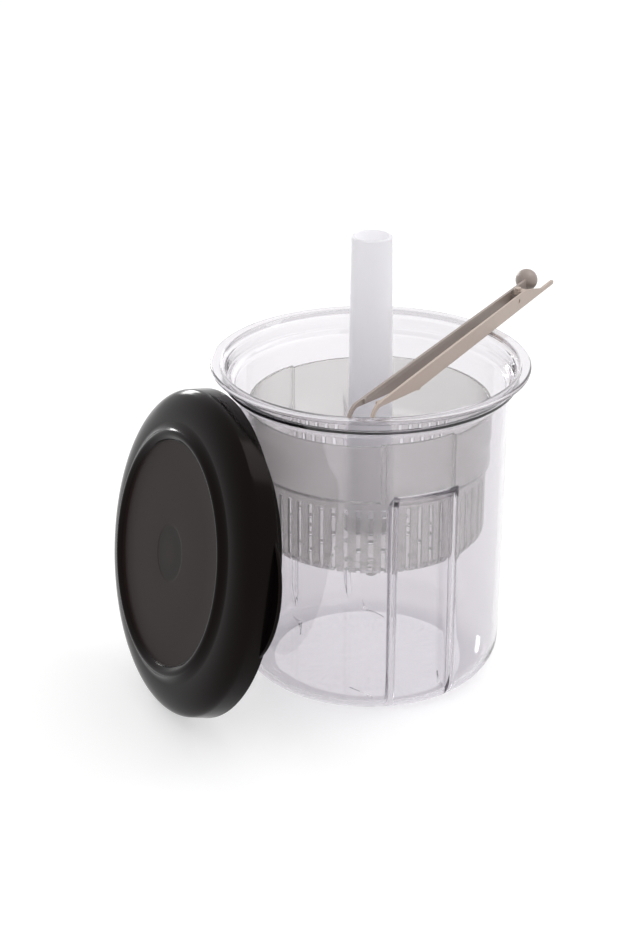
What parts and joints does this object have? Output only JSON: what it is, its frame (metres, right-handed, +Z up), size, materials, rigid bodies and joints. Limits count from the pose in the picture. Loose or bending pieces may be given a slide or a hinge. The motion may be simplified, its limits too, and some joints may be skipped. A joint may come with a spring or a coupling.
{
  "type": "pickle keeper with lift strainer",
  "caption": "Clear round jar with a slotted strainer on a hollow lifting stem, a domed lid leaning on its side and slim tongs across the mouth.",
  "frame": {"origin": "centre of the jar's base, on the surface that it stands on", "axes": "+Z up along the jar's axis, front of the jar towards -Y"},
  "size_m": [0.2766, 0.2733, 0.2745],
  "materials": {
    "clear_plastic": "clear, polished",
    "frosted_plastic": "frosted, translucent",
    "stem_plastic": "milky, translucent, satin",
    "lid_plastic": "gloss with a satin disc",
    "tong_plastic": "satin"
  },
  "bodies": {
    "jar": {"jar": "clear_plastic"},
    "strainer": {"strainer_basket": "frosted_plastic", "strainer_stem": "stem_plastic"},
    "lid": {"lid": "lid_plastic"},
    "tongs": {"tong_arm_back": "tong_plastic", "tong_pin": "tong_plastic"},
    "tong_front": {"tong_arm_front": "tong_plastic"}
  },
  "joints": [
    {"name": "strainer_lift", "type": "slide", "parent": "jar", "child": "strainer", "axis": [0, 0, 1], "range_m": [-0.0825, 0.018]},
    {"name": "lid_pull", "type": "slide", "parent": "jar", "child": "lid", "axis": [-0.8815, -0.428, 0.1994], "range_m": [0, 0.12]},
    {"name": "tongs_lift", "type": "slide", "parent": "jar", "child": "tongs", "axis": [0, 0, 1], "range_m": [0, 0.15]},
    {"name": "tongs_squeeze", "type": "hinge", "parent": "tongs", "child": "tong_front", "pos_m": [0.09393, 0.09211, 0.20413], "axis": [-0.0101, -0.0182, 0.9998], "range_deg": [-1.7, 0], "stiffness_Nm_per_rad": 0.05}
  ]
}
